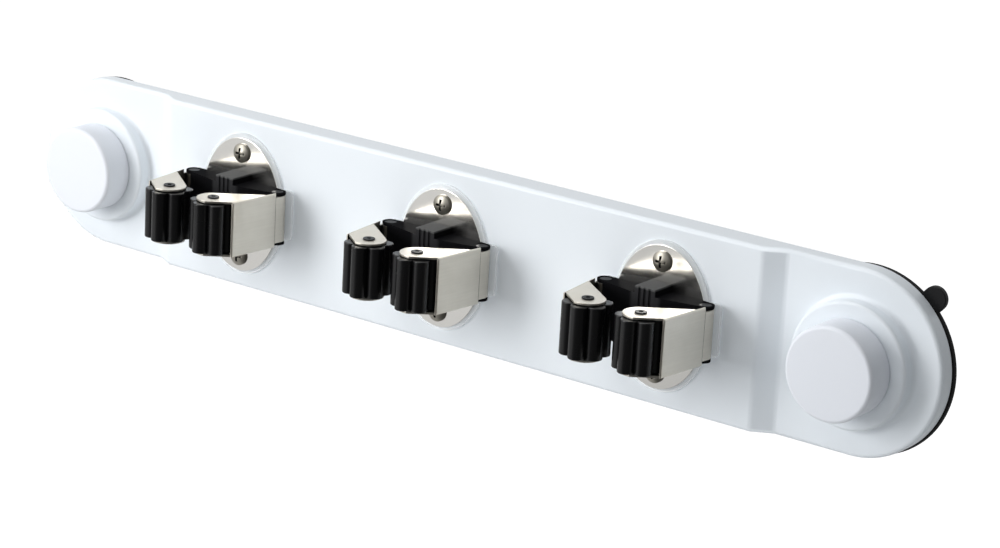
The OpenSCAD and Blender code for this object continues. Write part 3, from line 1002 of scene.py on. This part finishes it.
@dataclass
class Clip:
    """One sprung clip: its plate, pad, screws and core, and two arms with their rollers."""

    word: str
    x: float
    arm_sizes: ArmSizes = field(default_factory=ArmSizes)
    roller_sizes: RollerSizes = field(default_factory=RollerSizes)
    spring_radius: float = 2.15
    spring_turns: int = 4
    turn_steps: int = 28
    wire_radius: float = 0.35
    wire_sides: int = 10
    edge_round: float = 0.3
    screw_round: float = 0.1
    pin_round: float = 0.12

    def node(self, *words: str) -> str:
        """The name of one of the clip's nodes.

        Args:
            words: what follows the clip's own name.

        Returns:
            The name.
        """
        return "_".join((self.word, *words))

    def flange(self, shape: Shape, low: float) -> None:
        """Adds one flange: a hull of its round nose and its rear corner, cut at the front.

        Args:
            shape: the mesh that grows.
            low: the height of its lower face.
        """
        arm, same_plane = self.arm_sizes, math.radians(0.5)
        leaf = Shape()
        bm = leaf.bm
        bmesh.ops.create_circle(bm, cap_ends=False, radius=arm.flange_radius, segments=72,
                                matrix=Matrix.Translation((*arm.pin_at, low)))
        for y in (-arm.flange_start, arm.pin_at[1] - arm.flange_cut):
            bm.verts.new((arm.web[0] + arm.flange_lap, y, low))
        copied = bmesh.ops.duplicate(bm, geom=bm.verts[:])["geom"]
        bmesh.ops.translate(bm, verts=copied, vec=(0.0, 0.0, arm.sheet))
        hull = bmesh.ops.convex_hull(bm, input=bm.verts[:])
        spare = dict.fromkeys(corners(hull["geom_interior"] + hull["geom_unused"]))
        bmesh.ops.delete(bm, geom=list(spare), context="VERTS")
        slant = Vector((1.0, -1.0, 0.0)).normalized()
        on_cut = Vector((*arm.pin_at, low)) + slant * arm.flange_cut
        bmesh.ops.bisect_plane(bm, geom=bm.verts[:] + bm.edges[:] + bm.faces[:], dist=TIGHT, plane_co=on_cut,
                               plane_no=slant, clear_outer=True)
        bmesh.ops.holes_fill(bm, edges=[edge for edge in bm.edges if edge.is_boundary])
        bmesh.ops.dissolve_limit(bm, angle_limit=same_plane, verts=bm.verts[:], edges=bm.edges[:])
        leaf.soften(lambda edge: crease(edge, ROUND_BREAK), arm.edge, steps=2)
        shape.absorb(leaf)

    def arm(self, side: Side) -> None:
        """Models one bent sheet arm with its knuckle and its closing lug.

        Args:
            side: the arm's side.
        """
        arm = self.arm_sizes
        shape = Shape()
        inner, outer = arm.web
        web = Shape()
        web.block((inner, -arm.web_length, -arm.half_height), (outer, -arm.web_start, arm.half_height))
        web.soften(lambda edge: all(vert.co.x > outer - NEAR and abs(abs(vert.co.z) - arm.half_height) < NEAR
                                    for vert in edge.verts), arm.bend, steps=5)
        tail = Shape()
        tail.block((inner, -arm.web_start - arm.tail_lap, -arm.knuckle_half), (outer, 0.0, arm.knuckle_half))
        for part in (web, tail):
            part.soften(crease, arm.edge, steps=2)
            shape.absorb(part)
        for low in (arm.half_height - arm.sheet, -arm.half_height):
            self.flange(shape, low)
        shape.move(arm.turned)
        bore, skin = arm.knuckle
        knuckle = Shape()
        knuckle.turn([(bore, -arm.knuckle_half), (skin, -arm.knuckle_half), (skin, arm.knuckle_half),
                      (bore, arm.knuckle_half)], (0.0, 0.0, 0.0), Axis.UPRIGHT, steps=48)
        knuckle.soften(crease, arm.edge, steps=2)
        tip, root = arm.lug
        knuckle.block((tip, arm.lug_in, -arm.lug_half), (root, arm.lug_in + arm.sheet, arm.lug_half))
        shape.absorb(knuckle)
        shape.move(arm.placed(self.x, side))
        shape.piece(self.node(side.word, "bent_arm"), ARM_STEEL, self.node(side.word, "arm_body"),
                    self.node(side.word, "arm"))

    def roller(self, side: Side) -> None:
        """Models one fluted roller.

        Args:
            side: the roller's side.
        """
        arm, roller = self.arm_sizes, self.roller_sizes
        shape = Shape()
        roller.outline(shape)
        foot = bmesh.ops.contextual_create(shape.bm, geom=shape.bm.edges[:])["faces"]
        top = corners(bmesh.ops.extrude_face_region(shape.bm, geom=foot)["geom"])
        bmesh.ops.translate(shape.bm, verts=top, vec=(0.0, 0.0, 2.0 * roller.half_height))
        shape.soften(lambda edge: crease(edge) and abs(edge.verts[0].co.z - edge.verts[1].co.z) < NEAR,
                     roller.edge, steps=3)
        half_lobe = Matrix.Rotation(math.pi / roller.lobes, 4, "Z")
        shape.move(arm.placed(self.x, side) @ arm.turned @ Matrix.Translation((*arm.pin_at, 0.0)) @ half_lobe)
        shape.piece(self.node(side.word, "fluted_roller"), ROLLER_BLACK, self.node(side.word, "roller_body"),
                    self.node(side.word, "roller"), sharp=ROUND_BREAK)

    def spring(self, side: Side) -> None:
        """Winds one closing spring from its back to its seat.

        Args:
            side: the spring's side.
        """
        low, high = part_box(self.node(side.word, "spring"))
        back, seat = -high.y / MM, -low.y / MM
        x = (low.x + high.x) / 2.0 / MM
        length = seat - back - 2.0 * self.wire_radius
        steps = self.turn_steps * self.spring_turns
        shape = Shape()
        start = Matrix.Translation((x + self.spring_radius, -back - self.wire_radius, 0.0))
        bmesh.ops.create_circle(shape.bm, cap_ends=False, radius=self.wire_radius, segments=self.wire_sides,
                                matrix=start)
        bmesh.ops.spin(shape.bm, geom=shape.bm.verts[:] + shape.bm.edges[:], cent=(x, 0.0, 0.0),
                       axis=Axis.WALL.value, angle=2.0 * math.pi * self.spring_turns, steps=steps,
                       dvec=(0.0, -length / steps, 0.0), use_merge=False)
        bmesh.ops.holes_fill(shape.bm, edges=[edge for edge in shape.bm.edges if edge.is_boundary])
        coil = shape.piece(self.node(side.word, "coil"), SPRING_WIRE, "rack", self.node(side.word, "spring"))
        self.node(side.word, "arm_swing")
        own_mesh(coil)

    def build(self) -> None:
        """Models and dresses every piece of the clip."""
        softened(self.node("pad"), PAD_CLEAR, "rack", self.edge_round)
        softened(self.node("plate"), PLATE_STEEL, "rack", self.edge_round, steps=3)
        softened(self.node("screws"), SCREW_STEEL, "rack", self.screw_round)
        softened(self.node("core"), CORE_BLACK, "rack", self.edge_round)
        dress(self.node("core_rivets"), ZINC_STEEL)
        dress(self.node("hinge_pins"), PIN_BLACK)
        for side in Side:
            self.arm(side)
            self.roller(side)
            self.spring(side)
            softened(self.node(side.word, "roller_pin"), PIN_BLACK, self.node(side.word, "arm_body"),
                     self.pin_round)


@dataclass(frozen=True)
class SoftBox:
    """One studio light with a flat face that looks at the rack."""

    name: str
    place: Point
    size: Pair
    watts: float
    target: Point = (0.0, -0.03, 0.0)

    def build(self) -> None:
        """Adds the light to the scene."""
        lamp = bpy.data.lights.new(self.name, "AREA")
        lamp.shape = "RECTANGLE"
        lamp.size, lamp.size_y = self.size
        lamp.energy = self.watts
        made = bpy.data.objects.new(self.name, lamp)
        made.location = self.place
        made.rotation_euler = (Vector(self.target) - Vector(self.place)).to_track_quat("-Z", "Y").to_euler()
        bpy.context.scene.collection.objects.link(made)


@dataclass
class Studio:
    """The floor, the lights, the white surroundings and the camera."""

    floor_height: float = -0.6
    floor_size: float = 14.0
    floor_tone: float = 0.82
    floor_seen: float = 0.85
    floor_mirrored: float = 0.68
    ambient: float = 0.26
    ambient_tint: Point = (0.95, 0.98, 1.0)
    front_mirrored: float = 0.1
    front_fade: Pair = (0.35, 0.75)
    lens: float = 115.97
    sensor: float = 36.0
    sight: float = 50.0
    camera_place: Point = (0.80575, -1.09632, 0.40650)
    camera_angles: Point = (35.665, 17.037, 3.221)
    lights: tuple[SoftBox, ...] = (
        SoftBox("key_light", (-0.66, -1.02, 0.264), (0.48, 0.72), 10.3),
        SoftBox("fill_light", (0.15, -1.6, 0.5), (1.0, 1.0), 1.9),
        SoftBox("top_light", (-0.3, -0.3, 1.2), (0.8, 0.8), 6.8),
    )

    def surroundings(self) -> None:
        """Makes the world white to the camera, dimmer for its light, and dim in front for mirrored rays."""
        world = bpy.data.worlds.new("white_surroundings")
        world.use_nodes = True
        graph = Graph(world.node_tree)
        path = graph.add("ShaderNodeLightPath")
        last = graph.add("ShaderNodeBackground", Color=(*self.ambient_tint, 1.0), Strength=self.ambient)
        mirrored = graph.add("ShaderNodeBackground", Color=WHITE, Strength=self.dim_front(graph, 1.0))
        seen = graph.add("ShaderNodeBackground", Color=WHITE, Strength=1.0)
        for ray, light in (("Glossy", mirrored), ("Transmission", seen), ("Camera", seen)):
            choice = graph.add("ShaderNodeMixShader", Fac=path.outputs[f"Is {ray} Ray"])
            graph.join(last.outputs[0], choice.inputs[1])
            graph.join(light.outputs[0], choice.inputs[2])
            last = choice
        graph.add("ShaderNodeOutputWorld", Surface=last.outputs["Shader"])
        bpy.context.scene.world = world

    def dim_front(self, graph: Graph, full: float) -> Socket:
        """The brightness that mirrored rays find: full all round but dim where the picture was taken from.

        Args:
            graph: the graph that grows.
            full: the brightness elsewhere.

        Returns:
            The brightness.
        """
        place = graph.add("ShaderNodeNewGeometry")
        level = graph.add("ShaderNodeVectorMath", operation="MULTIPLY", Vector=place.outputs["Position"])
        level.inputs[1].default_value = (1.0, 1.0, 0.0)
        way = graph.add("ShaderNodeVectorMath", operation="NORMALIZE", Vector=level.outputs["Vector"])
        front = graph.add("ShaderNodeVectorMath", operation="DOT_PRODUCT", Vector=way.outputs["Vector"])
        turn = math.radians(self.camera_angles[0])
        front.inputs[1].default_value = (math.sin(turn), -math.cos(turn), 0.0)
        return graph.ramp(front.outputs["Value"], self.front_fade, (full, self.front_mirrored))

    def floor(self) -> None:
        """Lays the pale floor, which adds enough white to the picture to match the surroundings."""
        bm = bmesh.new()
        bmesh.ops.create_grid(bm, x_segments=1, y_segments=1, size=self.floor_size / 2.0,
                              matrix=Matrix.Translation((0.0, 0.0, self.floor_height)))
        mesh = bpy.data.meshes.new("pale_floor")
        bm.to_mesh(mesh)
        bm.free()
        made = bpy.data.objects.new("pale_floor", mesh)
        bpy.context.scene.collection.objects.link(made)
        mesh.materials.append(self.floor_paint())

    def floor_paint(self) -> bpy.types.Material:
        """Mixes the floor's material.

        Returns:
            A matt grey that glows white to the camera and shows mirrored rays the studio's brightness.
        """
        paint = bpy.data.materials.new("pale_floor")
        paint.use_nodes = True
        graph = Graph(paint.node_tree)
        path = graph.add("ShaderNodeLightPath")
        tone = self.floor_tone
        matt = graph.add("ShaderNodeBsdfDiffuse", Color=(tone, tone, tone, 1.0))
        level = graph.add("ShaderNodeMath", operation="MULTIPLY", Value=path.outputs["Is Camera Ray"])
        level.inputs[1].default_value = self.floor_seen
        glow = graph.add("ShaderNodeEmission", Color=WHITE, Strength=level.outputs["Value"])
        lit = graph.add("ShaderNodeAddShader")
        graph.join(matt.outputs["BSDF"], lit.inputs[0])
        graph.join(glow.outputs["Emission"], lit.inputs[1])
        dimmed = self.dim_front(graph, self.floor_mirrored)
        mirrored = graph.add("ShaderNodeEmission", Color=WHITE, Strength=dimmed)
        choice = graph.add("ShaderNodeMixShader", Fac=path.outputs["Is Glossy Ray"])
        graph.join(lit.outputs["Shader"], choice.inputs[1])
        graph.join(mirrored.outputs["Emission"], choice.inputs[2])
        graph.add("ShaderNodeOutputMaterial", Surface=choice.outputs["Shader"])
        return paint

    def camera(self) -> None:
        """Puts the camera where the picture was taken from."""
        lens = bpy.data.cameras.new("picture_camera")
        lens.sensor_fit = "HORIZONTAL"
        lens.sensor_width = self.sensor
        lens.lens = self.lens
        lens.clip_end = self.sight
        made = bpy.data.objects.new("picture_camera", lens)
        bpy.context.scene.collection.objects.link(made)
        turn, rise, roll = (math.radians(angle) for angle in self.camera_angles)
        back = Vector((math.sin(turn) * math.cos(rise), -math.cos(turn) * math.cos(rise), math.sin(rise)))
        right = Vector((math.cos(turn), math.sin(turn), 0.0))
        up = right.cross(-back)
        across = right * math.cos(roll) + up * math.sin(roll)
        upright = up * math.cos(roll) - right * math.sin(roll)
        turned = Matrix((across, upright, back)).transposed().to_4x4()
        made.matrix_world = Matrix.Translation(self.camera_place) @ turned
        bpy.context.scene.camera = made

    def build(self) -> None:
        """Sets up everything round the rack."""
        bpy.context.scene.view_settings.view_transform = "Standard"
        self.surroundings()
        self.floor()
        self.camera()
        for light in self.lights:
            light.build()


def main() -> None:
    """Builds the studio and every piece."""
    logging.basicConfig(level=logging.INFO, format="%(name)s: %(message)s")
    Studio().build()
    Panel().build()
    for side in Side:
        SuctionEnd(side).build()
    for word, x in (("left_clip", -CLIP_PITCH), ("middle_clip", 0.0), ("right_clip", CLIP_PITCH)):
        Clip(word, x).build()


if __name__ == "__main__":
    main()
